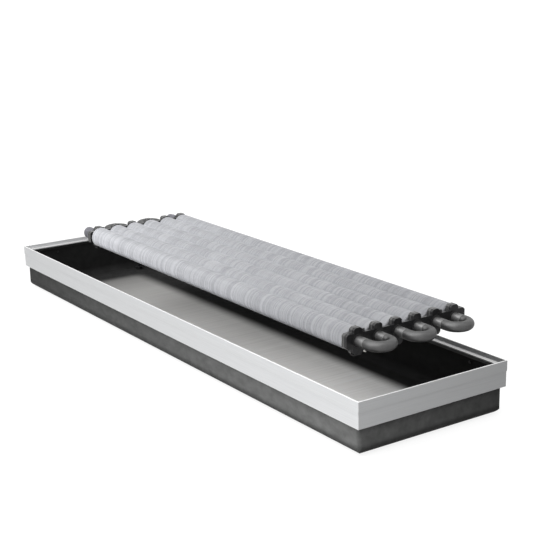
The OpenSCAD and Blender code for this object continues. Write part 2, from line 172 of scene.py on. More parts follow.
def makeFloor():
    half = studio["floorHalf"]
    mesh = bpy.data.meshes.new("studioFloor")
    corners = [(-half, -half), (half, -half), (half, half), (-half, half)]
    mesh.from_pydata([(x, y, -studio["floorDrop"]) for x, y in corners], [], [(0, 1, 2, 3)])
    floor = bpy.data.objects.new("studioFloor", mesh)
    scene.collection.objects.link(floor)
    material = bpy.data.materials.new("studioFloor")
    material.use_nodes = True
    material.cycles.emission_sampling = "NONE"
    tree = material.node_tree
    tree.nodes.clear()
    seen = seenRay(tree)
    bounce = put(tree, "ShaderNodeBsdfDiffuse", (-1, 2), {"Color": (studio["floorBounce"],) * 3 + (1,)})
    paint = put(tree, "ShaderNodeBsdfDiffuse", (-2, -1), {"Color": (studio["floorPaint"],) * 3 + (1,)})
    glow = put(tree, "ShaderNodeEmission", (-2, -2), {"Strength": studio["floorGlow"]})
    pale = put(tree, "ShaderNodeAddShader", (-1, -1))
    mix = put(tree, "ShaderNodeMixShader", (0, 0))
    out = put(tree, "ShaderNodeOutputMaterial", (1, 0))
    join(tree, paint, 0, pale, 0)
    join(tree, glow, 0, pale, 1)
    join(tree, seen, 0, mix, 0)
    join(tree, bounce, 0, mix, 1)
    join(tree, pale, 0, mix, 2)
    join(tree, mix, 0, out, 0)
    mesh.materials.append(material)


def makeLamp(name, fromWhere, strength, softness):
    lamp = bpy.data.lights.new(name, "SUN")
    lamp.energy = strength
    lamp.angle = math.radians(softness)
    holder = bpy.data.objects.new(name, lamp)
    holder.matrix_world = Vector(fromWhere).to_track_quat("Z", "Y").to_matrix().to_4x4()
    scene.collection.objects.link(holder)


makeWorld()
makeFloor()
makeLamp("keyLight", studio["keyFrom"], studio["keyStrength"], studio["keySoftness"])
makeLamp("glintLight", studio["glintFrom"], studio["glintStrength"], studio["glintSoftness"])
makeLamp("fillLight", studio["fillFrom"], studio["fillStrength"], studio["fillSoftness"])
print("studio lit")


# shared effects, each a shader group that gives values only

def makeGrainGroup():
    # stretched noise for streaks, brushing and mottling, between Low and High
    group = newGroup("surfaceGrain", "ShaderNodeTree", [
        ("Vector", "NodeSocketVector", None),
        ("Stretch", "NodeSocketVector", (1.0, 1.0, 1.0)),
        ("Scale", "NodeSocketFloat", 10.0),
        ("Detail", "NodeSocketFloat", 3.0),
        ("Low", "NodeSocketFloat", 0.0),
        ("High", "NodeSocketFloat", 1.0),
    ], [("Value", "NodeSocketFloat")])
    start = put(group, "NodeGroupInput", (-3, 0))
    stretch = put(group, "ShaderNodeVectorMath", (-2, 0), operation="MULTIPLY")
    noise = put(group, "ShaderNodeTexNoise", (-1, 0), {"Roughness": 0.6})
    spread = put(group, "ShaderNodeMapRange", (0, 0), {"From Min": 0.3, "From Max": 0.7})
    end = put(group, "NodeGroupOutput", (1, 0))
    join(group, start, "Vector", stretch, 0)
    join(group, start, "Stretch", stretch, 1)
    join(group, stretch, 0, noise, "Vector")
    join(group, start, "Scale", noise, "Scale")
    join(group, start, "Detail", noise, "Detail")
    join(group, noise, 0, spread, "Value")
    join(group, start, "Low", spread, "To Min")
    join(group, start, "High", spread, "To Max")
    join(group, spread, 0, end, 0)
    return group


def makeEdgeGroup():
    # 1 on sharp edges: worn edges where a coat is thin, and a painted highlight where metal catches the
    #                   light
    group = newGroup("edgeMask", "ShaderNodeTree", [
        ("Radius", "NodeSocketFloat", 0.001),
        ("Strength", "NodeSocketFloat", 4.0),
    ], [("Mask", "NodeSocketFloat")])
    start = put(group, "NodeGroupInput", (-3, 0))
    bevel = put(group, "ShaderNodeBevel", (-2, 1))
    surface = put(group, "ShaderNodeNewGeometry", (-2, -1))
    compare = put(group, "ShaderNodeVectorMath", (-1, 0), operation="DOT_PRODUCT")
    invert = put(group, "ShaderNodeMath", (0, 0), operation="SUBTRACT")
    invert.inputs[0].default_value = 1.0
    grow = put(group, "ShaderNodeMath", (1, 0), operation="MULTIPLY", use_clamp=True)
    end = put(group, "NodeGroupOutput", (2, 0))
    join(group, start, "Radius", bevel, "Radius")
    join(group, bevel, 0, compare, 0)
    join(group, surface, "Normal", compare, 1)
    join(group, compare, "Value", invert, 1)
    join(group, invert, 0, grow, 0)
    join(group, start, "Strength", grow, 1)
    join(group, grow, 0, end, 0)
    return group


def makeCavityGroup():
    # 1 in corners and slots; the finishes use it for dark joints, painted shade and painted light there
    group = newGroup("cavityMask", "ShaderNodeTree", [
        ("Reach", "NodeSocketFloat", 0.01),
        ("Strength", "NodeSocketFloat", 1.5),
    ], [("Mask", "NodeSocketFloat")])
    start = put(group, "NodeGroupInput", (-3, 0))
    shade = put(group, "ShaderNodeAmbientOcclusion", (-2, 0), samples=8)
    invert = put(group, "ShaderNodeMath", (-1, 0), operation="SUBTRACT")
    invert.inputs[0].default_value = 1.0
    grow = put(group, "ShaderNodeMath", (0, 0), operation="MULTIPLY", use_clamp=True)
    end = put(group, "NodeGroupOutput", (1, 0))
    join(group, start, "Reach", shade, "Distance")
    join(group, shade, "AO", invert, 1)
    join(group, invert, 0, grow, 0)
    join(group, start, "Strength", grow, 1)
    join(group, grow, 0, end, 0)
    return group


def makeSpeckleGroup():
    # small round grains, between Low and High
    group = newGroup("fineSpeckle", "ShaderNodeTree", [
        ("Vector", "NodeSocketVector", None),
        ("Scale", "NodeSocketFloat", 800.0),
        ("Low", "NodeSocketFloat", 0.0),
        ("High", "NodeSocketFloat", 1.0),
    ], [("Value", "NodeSocketFloat")])
    start = put(group, "NodeGroupInput", (-2, 0))
    cells = put(group, "ShaderNodeTexVoronoi", (-1, 0))
    spread = put(group, "ShaderNodeMapRange", (0, 0), {"From Min": 0.1, "From Max": 0.8})
    end = put(group, "NodeGroupOutput", (1, 0))
    join(group, start, "Vector", cells, "Vector")
    join(group, start, "Scale", cells, "Scale")
    join(group, cells, "Distance", spread, "Value")
    join(group, start, "Low", spread, "To Min")
    join(group, start, "High", spread, "To Max")
    join(group, spread, 0, end, 0)
    return group


def makePaintedShadingGroup():
    # painted light and shade: a slow change of tone along X, Y and Z, between a share at each low end
    # and one at each high end
    group = newGroup("paintedShadingGroup", "ShaderNodeTree", [
        ("Vector", "NodeSocketVector", None),
        ("Centre", "NodeSocketVector", (0.0, 0.0, 0.0)),
        ("Reach", "NodeSocketVector", (1.0, 1.0, 1.0)),
        ("Low", "NodeSocketVector", (1.0, 1.0, 1.0)),
        ("High", "NodeSocketVector", (1.0, 1.0, 1.0)),
    ], [("Value", "NodeSocketFloat")])
    start = put(group, "NodeGroupInput", (-5, 0))
    shift = put(group, "ShaderNodeVectorMath", (-4, 0), operation="SUBTRACT")
    share = put(group, "ShaderNodeVectorMath", (-3, 0), operation="DIVIDE")
    spread = put(group, "ShaderNodeMapRange", (-2, 0), data_type="FLOAT_VECTOR")
    spread.inputs[7].default_value = (-1.0, -1.0, -1.0)
    split = put(group, "ShaderNodeSeparateXYZ", (-1, 0))
    plan = put(group, "ShaderNodeMath", (0, 1), operation="MULTIPLY")
    whole = put(group, "ShaderNodeMath", (1, 0), operation="MULTIPLY")
    end = put(group, "NodeGroupOutput", (2, 0))
    join(group, start, "Vector", shift, 0)
    join(group, start, "Centre", shift, 1)
    join(group, shift, 0, share, 0)
    join(group, start, "Reach", share, 1)
    join(group, share, 0, spread, 6)
    join(group, start, "Low", spread, 9)
    join(group, start, "High", spread, 10)
    join(group, spread, 1, split, 0)
    join(group, split, "X", plan, 0)
    join(group, split, "Y", plan, 1)
    join(group, plan, 0, whole, 0)
    join(group, split, "Z", whole, 1)
    join(group, whole, 0, end, 0)
    return group


surfaceGrain = makeGrainGroup()
edgeMask = makeEdgeGroup()
cavityMask = makeCavityGroup()
fineSpeckle = makeSpeckleGroup()
paintedShadingGroup = makePaintedShadingGroup()


def startMaterial(name, **shaderValues):
    material = bpy.data.materials.new(name)
    material.use_nodes = True
    tree = material.node_tree
    tree.nodes.clear()
    out = put(tree, "ShaderNodeOutputMaterial", (6, 0))
    shader = put(tree, "ShaderNodeBsdfPrincipled", (4, 0), shaderValues)
    join(tree, shader, 0, out, 0)
    place = put(tree, "ShaderNodeTexCoord", (-5, 0))
    return material, tree, shader, place


def mixColours(tree, place, low, high):
    # a colour mix whose factor is linked by the caller
    mix = put(tree, "ShaderNodeMix", place, data_type="RGBA")
    mix.inputs[6].default_value = (*low, 1)
    mix.inputs[7].default_value = (*high, 1)
    return mix


def multiply(tree, place, first, second):
    product = put(tree, "ShaderNodeMath", place, operation="MULTIPLY")
    join(tree, first, 0, product, 0)
    join(tree, second, 0, product, 1)
    return product


def addGrain(tree, place, coords, stretch, scale, low, high, detail=3.0):
    grain = placeGroup(tree, surfaceGrain, place, {
        "Stretch": stretch, "Scale": scale, "Low": low, "High": high, "Detail": detail,
    })
    join(tree, coords, "Object", grain, "Vector")
    return grain


def addSpeckle(tree, place, coords, scale, low, high):
    speckle = placeGroup(tree, fineSpeckle, place, {"Scale": scale, "Low": low, "High": high})
    join(tree, coords, "Object", speckle, "Vector")
    return speckle


def addPaintedShading(tree, place, coords, colour, low, high, centre=(0, 0, 0), reach=(0.75, 0.19, 0.1)):
    # the colour output that goes in, darkened and lightened by the painted light and shade
    paintedShading = placeGroup(tree, paintedShadingGroup, place, {
        "Low": low, "High": high, "Centre": centre, "Reach": reach,
    })
    join(tree, coords, "Object", paintedShading, "Vector")
    dimmed = put(tree, "ShaderNodeVectorMath", (place[0] + 1, place[1]), operation="SCALE")
    tree.links.new(colour, dimmed.inputs[0])
    join(tree, paintedShading, 0, dimmed, "Scale")
    capped = put(tree, "ShaderNodeVectorMath", (place[0] + 2, place[1]), operation="MINIMUM")
    join(tree, dimmed, 0, capped, 0)
    capped.inputs[1].default_value = palest
    return capped.outputs[0]


def addBump(tree, place, shader, height, strength, distance):
    bump = put(tree, "ShaderNodeBump", place, {"Strength": strength, "Distance": distance})
    join(tree, height, 0, bump, "Height")
    join(tree, bump, 0, shader, "Normal")


# finishes, one for each of the record's slots

rimLook = {
    "dark": (0.74, 0.75, 0.76),
    "light": (0.85, 0.86, 0.87),
    # the edge tone is a painted highlight
    "edge": (0.97, 0.97, 0.97),
    "bandShade": 0.28,
    "endPaintedLight": 1.42,
    "endPaintedShade": 0.79,
    "hiddenBelow": 0.1021,
    "hiddenHalf": (0.742, 0.182),
    "metallic": 0.2,
    "paintedShading": ((0.74, 1.0, 1.0), (1.0, 0.69, 1.0)),
    "streaks": (3.0, 3.0, 220.0),
    "fineStreaks": (5.0, 5.0, 420.0),
    "streakScale": 2.0,
    "edgeWearAndHighlight": {"Radius": 0.0012, "Strength": 5.0},
    "inwardUnder": -0.01,
    "endwardFrom": (0.3, 0.7),
    "rough": (0.34, 0.48),
    "relief": (0.25, 0.00005),
}


def insideBox(tree, place, split, limits):
    # 1 where each coordinate, without its sign, is less than its limit
    product = None
    for axis, limit in enumerate(limits):
        size = put(tree, "ShaderNodeMath", (place[0], place[1] + axis), operation="ABSOLUTE")
        join(tree, split, axis, size, 0)
        within = put(tree, "ShaderNodeMath", (place[0] + 1, place[1] + axis), operation="LESS_THAN")
        join(tree, size, 0, within, 0)
        within.inputs[1].default_value = limit
        product = multiply(tree, (place[0] + 2, place[1] + axis), product, within) if product else within
    return product


def rimAluminium():
    material, tree, shader, coords = startMaterial("rimAluminium", Metallic=rimLook["metallic"])
    wide = addGrain(tree, (-4, 2), coords, rimLook["streaks"], rimLook["streakScale"], 0.0, 1.0)
    fine = addGrain(tree, (-4, 0), coords, rimLook["fineStreaks"], rimLook["streakScale"], 0.0, 1.0, 4.0)
    both = put(tree, "ShaderNodeMath", (-3, 1), operation="ADD")
    join(tree, wide, 0, both, 0)
    join(tree, fine, 0, both, 1)
    half = put(tree, "ShaderNodeMath", (-2, 1), operation="MULTIPLY")
    half.inputs[1].default_value = 0.5
    join(tree, both, 0, half, 0)
    body = mixColours(tree, (-1, 1), rimLook["dark"], rimLook["light"])
    join(tree, half, 0, body, 0)
    split = put(tree, "ShaderNodeSeparateXYZ", (-4, 6))
    join(tree, coords, "Object", split, 0)
    facing = put(tree, "ShaderNodeSeparateXYZ", (-4, 8))
    join(tree, coords, "Normal", facing, 0)
    # painted highlight on the sharp edges and on the faces that look up
    edge = placeGroup(tree, edgeMask, (-1, 3), rimLook["edgeWearAndHighlight"])
    up = put(tree, "ShaderNodeMath", (-2, 4), operation="GREATER_THAN")
    join(tree, facing, 2, up, 0)
    up.inputs[1].default_value = sideways
    paintedHighlight = put(tree, "ShaderNodeMath", (0, 3), operation="MAXIMUM")
    join(tree, edge, 0, paintedHighlight, 0)
    join(tree, up, 0, paintedHighlight, 1)
    colour = mixColours(tree, (1, 1), rimLook["dark"], rimLook["edge"])
    join(tree, paintedHighlight, 0, colour, 0)
    join(tree, body, 2, colour, 6)
    # painted shade on the long inner bands, which look across the opening
    inward = put(tree, "ShaderNodeMath", (-2, 6), operation="MULTIPLY")
    join(tree, split, 1, inward, 0)
    join(tree, facing, 1, inward, 1)
    band = put(tree, "ShaderNodeMath", (-1, 6), operation="LESS_THAN")
    join(tree, inward, 0, band, 0)
    band.inputs[1].default_value = rimLook["inwardUnder"]
    shade = put(tree, "ShaderNodeMapRange", (0, 6), {"To Min": 1.0, "To Max": rimLook["bandShade"]})
    join(tree, band, 0, shade, "Value")
    # painted light on the short inner bands, painted shade on the outer ends
    endward = put(tree, "ShaderNodeMath", (-2, 7), operation="MULTIPLY")
    join(tree, split, 0, endward, 0)
    join(tree, facing, 0, endward, 1)
    least, most = rimLook["endwardFrom"]
    lift = put(tree, "ShaderNodeMapRange", (0, 7), {
        "From Min": -most, "From Max": -least, "To Min": rimLook["endPaintedLight"], "To Max": 1.0,
    })
    join(tree, endward, 0, lift, "Value")
    dim = put(tree, "ShaderNodeMapRange", (0, 8), {
        "From Min": least, "From Max": most, "To Min": 1.0, "To Max": rimLook["endPaintedShade"],
    })
    join(tree, endward, 0, dim, "Value")
    shaded = put(tree, "ShaderNodeVectorMath", (3, 6), operation="SCALE")
    # painted shade, darker towards the far end and the back
    shadingPainted = addPaintedShading(tree, (0, 5), coords, colour.outputs[2], *rimLook["paintedShading"])
    tree.links.new(shadingPainted, shaded.inputs[0])
    join(tree, multiply(tree, (2, 7), multiply(tree, (1, 7), shade, lift), dim), 0, shaded, "Scale")
    # below the ledge, inside the trough, the rim gets the trough's inner black as painted shade
    within = insideBox(tree, (-3, 9), split, (*rimLook["hiddenHalf"], rimLook["hiddenBelow"]))
    shadedBelow = mixColours(tree, (2, 3), rimLook["dark"], coatLook["inner"])
    join(tree, within, 0, shadedBelow, 0)
    join(tree, shaded, 0, shadedBelow, 6)
    join(tree, shadedBelow, 2, shader, "Base Color")
    smoothest, roughest = rimLook["rough"]
    rough = put(tree, "ShaderNodeMapRange", (0, -1), {"To Min": smoothest, "To Max": roughest})
    join(tree, fine, 0, rough, "Value")
    join(tree, rough, 0, shader, "Roughness")
    addBump(tree, (1, -3), shader, fine, *rimLook["relief"])
    return material


coatLook = {
    # the inner tones, far darker than the outer ones, are painted shade
    "inner": (0.012, 0.012, 0.012),
    "innerWorn": (0.017, 0.017, 0.017),
    "innerPaintedLight": ((3.2, 1.0, 1.0), (1.0, 1.0, 1.0)),
    "innerCentre": (-0.75, 0.0, 0.0),
    "innerReach": (0.35, 0.19, 0.1),
    "black": (0.145, 0.147, 0.145),
    "worn": (0.208, 0.210, 0.208),
    "edge": (0.16, 0.16, 0.16),
    "middle": (0.0, 0.0, 0.06),
    "paintedShading": ((0.27, 1.0, 0.05), (1.17, 0.42, 1.0)),
    "shadingCentre": (-0.10, 0.0, 0.012),
    "shadingReach": (0.65, 0.19, 0.012),
    "plateDark": (0.82, 0.81, 0.79),
    "plateLight": (0.96, 0.95, 0.93),
    "platePaintedShadow": ((0.22, 1.0, 1.0), (0.80, 1.0, 1.0)),
    "plateCentre": (-0.385, 0.0, 0.0),
    "plateReach": (0.235, 0.19, 0.1),
    "platePaintedLight": ((1.0, 1.0, 1.0), (1.33, 1.0, 1.0)),
    "riseCentre": (0.2, 0.0, 0.0),
    "riseReach": (0.2, 0.19, 0.1),
    "plateMetal": 0.08,
    "plateRough": 0.3,
    "plateHalf": (0.645, 0.114),
    "plateShadowFade": 0.05,
    "plateTop": 0.004,
    "brushing": (60.0, 1.5, 1.0),
    "brushScale": 2.5,
    "cloud": (0.6, 0.9, 1.0),
    "cloudScale": 48.0,
    "edgeWearAndHighlight": {"Radius": 0.001, "Strength": 3.0},
    "rough": (45.0, 0.34, 0.5),
    "peelScale": 420.0,
    "relief": (0.3, 0.0001),
}


def fadeOut(tree, place, separate, axis, limit, soft):
    # 1 inside the limit, falling to 0 over the soft stretch
    size = put(tree, "ShaderNodeMath", place, operation="ABSOLUTE")
    join(tree, separate, axis, size, 0)
    fade = put(tree, "ShaderNodeMapRange", (place[0] + 1, place[1]), {
        "From Min": limit - soft / 2, "From Max": limit + soft / 2, "To Min": 1.0, "To Max": 0.0,
    }, interpolation_type="SMOOTHSTEP")
    join(tree, size, 0, fade, "Value")
    return fade


def blackCoating():
    material, tree, shader, coords = startMaterial("blackCoating", IOR=1.08)
    split = put(tree, "ShaderNodeSeparateXYZ", (-4, 4))
    join(tree, coords, "Object", split, 0)
    facing = put(tree, "ShaderNodeSeparateXYZ", (-4, 6))
    join(tree, coords, "Normal", facing, 0)
    # a pale brushed plate on the floor, partly painted light; its soft fade to black well short of the
    # walls is painted shadow
    alongX = fadeOut(tree, (-3, 4), split, 0, coatLook["plateHalf"][0], coatLook["plateShadowFade"])
    alongY = fadeOut(tree, (-3, 5), split, 1, coatLook["plateHalf"][1], coatLook["plateShadowFade"])
    low = put(tree, "ShaderNodeMath", (-3, 6), operation="LESS_THAN")
    join(tree, split, 2, low, 0)
    low.inputs[1].default_value = coatLook["plateTop"]
    up = put(tree, "ShaderNodeMath", (-3, 7), operation="GREATER_THAN")
    join(tree, facing, 2, up, 0)
    up.inputs[1].default_value = sideways
    flat = multiply(tree, (-1, 6), low, up)
    sides = multiply(tree, (-1, 5), alongX, alongY)
    plate = multiply(tree, (0, 5), flat, sides)
    brushed = addGrain(tree, (-3, 3), coords, coatLook["brushing"], coatLook["brushScale"],
                       0.0, 1.0, 4.0)
    metal = mixColours(tree, (-1, 3), coatLook["plateDark"], coatLook["plateLight"])
    join(tree, brushed, 0, metal, 0)
    # outside is where the surface looks away from the trough's middle
    fromMiddle = put(tree, "ShaderNodeVectorMath", (-4, 8), operation="SUBTRACT")
    join(tree, coords, "Object", fromMiddle, 0)
    fromMiddle.inputs[1].default_value = coatLook["middle"]
    away = put(tree, "ShaderNodeVectorMath", (-3, 8), operation="DOT_PRODUCT")
    join(tree, fromMiddle, 0, away, 0)
    join(tree, coords, "Normal", away, 1)
    outside = put(tree, "ShaderNodeMath", (-2, 8), operation="GREATER_THAN")
    join(tree, away, "Value", outside, 0)
    outside.inputs[1].default_value = 0.0
    cloud = addGrain(tree, (-3, 1), coords, coatLook["cloud"], coatLook["cloudScale"], 0.0, 1.0)
    outerPaint = mixColours(tree, (-1, 1), coatLook["black"], coatLook["worn"])
    join(tree, cloud, 0, outerPaint, 0)
    # inside, the same coat is far darker than outside: painted shade
    innerShadedPaint = mixColours(tree, (-1, 0), coatLook["inner"], coatLook["innerWorn"])
    join(tree, cloud, 0, innerShadedPaint, 0)
    paint = mixColours(tree, (0, 1), coatLook["inner"], coatLook["black"])
    join(tree, outside, 0, paint, 0)
    # painted light, paler towards the far end
    innerLightPainted = addPaintedShading(tree, (-1, -1), coords, innerShadedPaint.outputs[2], *coatLook["innerPaintedLight"],
                            coatLook["innerCentre"], coatLook["innerReach"])
    tree.links.new(innerLightPainted, paint.inputs[6])
    # painted shade, darker towards the far end, the back and the bottom edge
    shadingPainted = addPaintedShading(tree, (-1, 9), coords, outerPaint.outputs[2], *coatLook["paintedShading"],
                       coatLook["shadingCentre"], coatLook["shadingReach"])
    tree.links.new(shadingPainted, paint.inputs[7])
    edge = placeGroup(tree, edgeMask, (-1, 2), coatLook["edgeWearAndHighlight"])
    edged = mixColours(tree, (1, 1), coatLook["black"], coatLook["edge"])
    join(tree, edge, 0, edged, 0)
    join(tree, paint, 2, edged, 6)
    colour = mixColours(tree, (2, 2), coatLook["black"], coatLook["black"])
    join(tree, plate, 0, colour, 0)
    join(tree, edged, 2, colour, 6)
    # painted shadow on the far part of the plate, painted light on the near part
    farther = addPaintedShading(tree, (-1, 11), coords, metal.outputs[2], *coatLook["platePaintedShadow"],
                       coatLook["plateCentre"], coatLook["plateReach"])
    nearer = addPaintedShading(tree, (2, 11), coords, farther, *coatLook["platePaintedLight"],
                      coatLook["riseCentre"], coatLook["riseReach"])
    tree.links.new(nearer, colour.inputs[7])
    join(tree, colour, 2, shader, "Base Color")
    metalShare = put(tree, "ShaderNodeMath", (2, 4), operation="MULTIPLY")
    join(tree, plate, 0, metalShare, 0)
    metalShare.inputs[1].default_value = coatLook["plateMetal"]
    join(tree, metalShare, 0, shader, "Metallic")
    mottle = addGrain(tree, (-3, -1), coords, evenly, *coatLook["rough"])
    rough = put(tree, "ShaderNodeMix", (2, -1))
    join(tree, plate, 0, rough, 0)
    join(tree, mottle, 0, rough, 2)
    rough.inputs[3].default_value = coatLook["plateRough"]
    join(tree, rough, 0, shader, "Roughness")
    peel = addGrain(tree, (-3, -3), coords, evenly, coatLook["peelScale"], 0.0, 1.0)
    addBump(tree, (1, -3), shader, peel, *coatLook["relief"])
    return material


finLook = {
    "dark": (0.33, 0.335, 0.355),
    "light": (0.575, 0.58, 0.60),
    "valleyPaintedLight": (0.72, 0.73, 0.76),
    "metallic": 0.75,
    "paintedShading": ((0.97, 1.08, 1.95), (0.545, 0.93, 1.0)),
    "shadingCentre": (0.0, 0.0, 0.1919),
    "shadingReach": (0.75, 0.19, 0.0197),
    "backPaintedLight": 1.4,
    "crown": (0.2068, 0.2118),
    "crownAcross": (-0.0165, -0.002),
    "crownAlong": (-0.1, 0.6),
    "crownShare": (0.86, 1.0),
    "backFrom": (0.35, 0.72),
    "patches": (35.0, -0.08, 0.08),
    "pattern": (160.0, -0.15, 0.15),
    "deep": {"Reach": 0.02, "Strength": 0.9},
    "rough": (160.0, 0.5, 0.65),
    "rippleScale": 90.0,
    "relief": (0.35, 0.0004),
}
tubePitch = abs(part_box("fin_pack_2")[0][1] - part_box("fin_pack_1")[0][1])


def finAluminium():
    material, tree, shader, coords = startMaterial("finAluminium", Metallic=finLook["metallic"])
    tone = put(tree, "ShaderNodeAttribute", (-4, 2), attribute_name="finTone")
    patches = addGrain(tree, (-4, 0), coords, evenly, *finLook["patches"])
    mesh = addGrain(tree, (-4, -2), coords, evenly, *finLook["pattern"], 0.0)
    varied = put(tree, "ShaderNodeMath", (-3, 0), operation="ADD")
    join(tree, patches, 0, varied, 0)
    join(tree, mesh, 0, varied, 1)
    together = put(tree, "ShaderNodeMath", (-2, 1), operation="ADD", use_clamp=True)
    join(tree, tone, "Fac", together, 0)
    join(tree, varied, 0, together, 1)
    colour = mixColours(tree, (0, 1), finLook["dark"], finLook["light"])
    join(tree, together, 0, colour, 0)
    # the deep places get painted light, which evens out the shaded valleys between the tubes
    deep = placeGroup(tree, cavityMask, (0, 4), finLook["deep"])
    evened = mixColours(tree, (1, 3), finLook["dark"], finLook["valleyPaintedLight"])
    join(tree, deep, 0, evened, 0)
    join(tree, colour, 2, evened, 6)
    # painted light on the back of each tube, which the key light doesn't reach
    split = put(tree, "ShaderNodeSeparateXYZ", (-1, 6))
    join(tree, coords, "Object", split, 0)
    across = put(tree, "ShaderNodeMath", (0, 6), operation="DIVIDE")
    join(tree, split, "Y", across, 0)
    across.inputs[1].default_value = tubePitch
    side = put(tree, "ShaderNodeMath", (1, 6), operation="FRACT")
    join(tree, across, 0, side, 0)
    backStart, backEnd = finLook["backFrom"]
    lift = put(tree, "ShaderNodeMapRange", (2, 6), {
        "From Min": backStart, "From Max": backEnd, "To Min": 1.0, "To Max": finLook["backPaintedLight"],
    })
    join(tree, side, 0, lift, "Value")
    # painted shade on the crowns, which the key light strikes full, save the front of the first tube
    firstLow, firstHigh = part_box("fin_pack_1")
    middle = (firstLow[1] + firstHigh[1]) / 2
    ramps = {
        "Z": (*finLook["crown"], 0.0, 1.0),
        "Y": (*(middle + across for across in finLook["crownAcross"]), 0.0, 1.0),
        "X": (*finLook["crownAlong"], *(1.0 - share for share in finLook["crownShare"])),
    }
    masks = []
    for row, (axis, limits) in enumerate(ramps.items()):
        ramp = put(tree, "ShaderNodeMapRange", (1, 8 + row),
                   dict(zip(("From Min", "From Max", "To Min", "To Max"), limits)))
        join(tree, split, axis, ramp, "Value")
        masks.append(ramp)
    shade = multiply(tree, (3, 8), multiply(tree, (2, 8), masks[0], masks[1]), masks[2])
    crown = put(tree, "ShaderNodeMath", (4, 8), operation="SUBTRACT")
    crown.inputs[0].default_value = 1.0
    join(tree, shade, 0, crown, 1)
    lifted = put(tree, "ShaderNodeVectorMath", (2, 3), operation="SCALE")
    join(tree, evened, 2, lifted, 0)
    join(tree, multiply(tree, (3, 6), lift, crown), 0, lifted, "Scale")
    # painted light and shade: darker towards the near end and the back, paler on the undersides
    shadingPainted = addPaintedShading(tree, (3, 3), coords, lifted.outputs[0], *finLook["paintedShading"],
                       finLook["shadingCentre"], finLook["shadingReach"])
    tree.links.new(shadingPainted, shader.inputs["Base Color"])
    rough = addGrain(tree, (-2, -1), coords, evenly, *finLook["rough"])
    join(tree, rough, 0, shader, "Roughness")
    ripple = addGrain(tree, (-2, -3), coords, evenly, finLook["rippleScale"], 0.0, 1.0)
    addBump(tree, (1, -3), shader, ripple, *finLook["relief"])
    return material


tubeLook = {
    "dark": (0.25, 0.25, 0.25),
    "light": (0.36, 0.36, 0.36),
    "groove": (0.02, 0.02, 0.02),
    "silhouetteShade": (0.02, 0.02, 0.02),
    # the bend tones, darker than the tube's, are painted shade
    "bendDark": (0.080, 0.080, 0.080),
    "bendLight": (0.130, 0.130, 0.130),
    "metallic": 0.6,
    "cloud": (60.0, 0.25, 0.75),
    "speckle": (1100.0, -0.25, 0.25),
    "turning": 0.7,
    "weldGroove": {"Reach": 0.002, "Strength": 2.2},
    "rough": (220.0, 0.36, 0.48),
    "relief": (0.3, 0.0001),
}


def tubeSteel(name, dark, light):
    material, tree, shader, coords = startMaterial(name, Metallic=tubeLook["metallic"])
    cloud = addGrain(tree, (-4, 2), coords, evenly, *tubeLook["cloud"])
    speckle = addSpeckle(tree, (-4, 0), coords, *tubeLook["speckle"])
    together = put(tree, "ShaderNodeMath", (-2, 1), operation="ADD", use_clamp=True)
    join(tree, cloud, 0, together, 0)
    join(tree, speckle, 0, together, 1)
    colour = mixColours(tree, (0, 1), dark, light)
    join(tree, together, 0, colour, 0)
    # painted shade: darker where the surface turns away from the view, towards the silhouettes
    turning = put(tree, "ShaderNodeLayerWeight", (-1, 4), {"Blend": tubeLook["turning"]})
    silhouetteShade = mixColours(tree, (1, 2), dark, tubeLook["silhouetteShade"])
    join(tree, turning, "Facing", silhouetteShade, 0)
    join(tree, colour, 2, silhouetteShade, 6)
    # darker in the weld grooves and other narrow crevices: dark joints, and painted shade in the
    # crevices
    cavity = placeGroup(tree, cavityMask, (0, 3), tubeLook["weldGroove"])
    shaded = mixColours(tree, (2, 1), dark, tubeLook["groove"])
    join(tree, cavity, 0, shaded, 0)
    join(tree, silhouetteShade, 2, shaded, 6)
    join(tree, shaded, 2, shader, "Base Color")
    rough = addGrain(tree, (-2, -1), coords, evenly, *tubeLook["rough"])
    join(tree, rough, 0, shader, "Roughness")
    addBump(tree, (1, -3), shader, speckle, *tubeLook["relief"])
    return material


plainWearAndHighlight = {
    "edge": {"Radius": 0.0006, "Strength": 2.5},
    "roughShare": 3,
    "speckleShare": 12,
    "relief": (0.35, 0.0001),
}


def plainFinish(name, dark, light, edge, metallic, grain, rough, ior=1.5):
    # a finish with mottled colour, pale edges and a fine grain; the pale edges are wear, and on the
    # bracket a painted highlight
    material, tree, shader, coords = startMaterial(name, Metallic=metallic, IOR=ior)
    cloud = addGrain(tree, (-4, 1), coords, evenly, grain, 0.0, 1.0)
    colour = mixColours(tree, (-1, 1), dark, light)
    join(tree, cloud, 0, colour, 0)
    worn = placeGroup(tree, edgeMask, (-1, 3), plainWearAndHighlight["edge"])
    edged = mixColours(tree, (1, 1), dark, edge)
    join(tree, worn, 0, edged, 0)
    join(tree, colour, 2, edged, 6)
    join(tree, edged, 2, shader, "Base Color")
    spots = addGrain(tree, (-2, -1), coords, evenly, grain * plainWearAndHighlight["roughShare"], *rough)
    join(tree, spots, 0, shader, "Roughness")
    speckle = addSpeckle(tree, (-2, -3), coords, grain * plainWearAndHighlight["speckleShare"], 0.0, 1.0)
    addBump(tree, (1, -3), shader, speckle, *plainWearAndHighlight["relief"])
    return material


bracketLook = {
    "plastic": {
        "dark": (0.017, 0.017, 0.018),
        "light": (0.030, 0.030, 0.031),
        # the bracket's pale edge is a painted highlight
        "edge": (0.13, 0.13, 0.13),
        "metallic": 0.0,
        "grain": 130.0,
        "rough": (0.14, 0.22),
        "ior": 1.25,
    },
    "sideDark": (0.03, 0.03, 0.03),
    "sidePaintedLight": (0.13, 0.13, 0.13),
    "stripes": (1.0, 0.02, 0.02),
    "stripeScale": 420.0,
    "frontShare": 0.43,
}


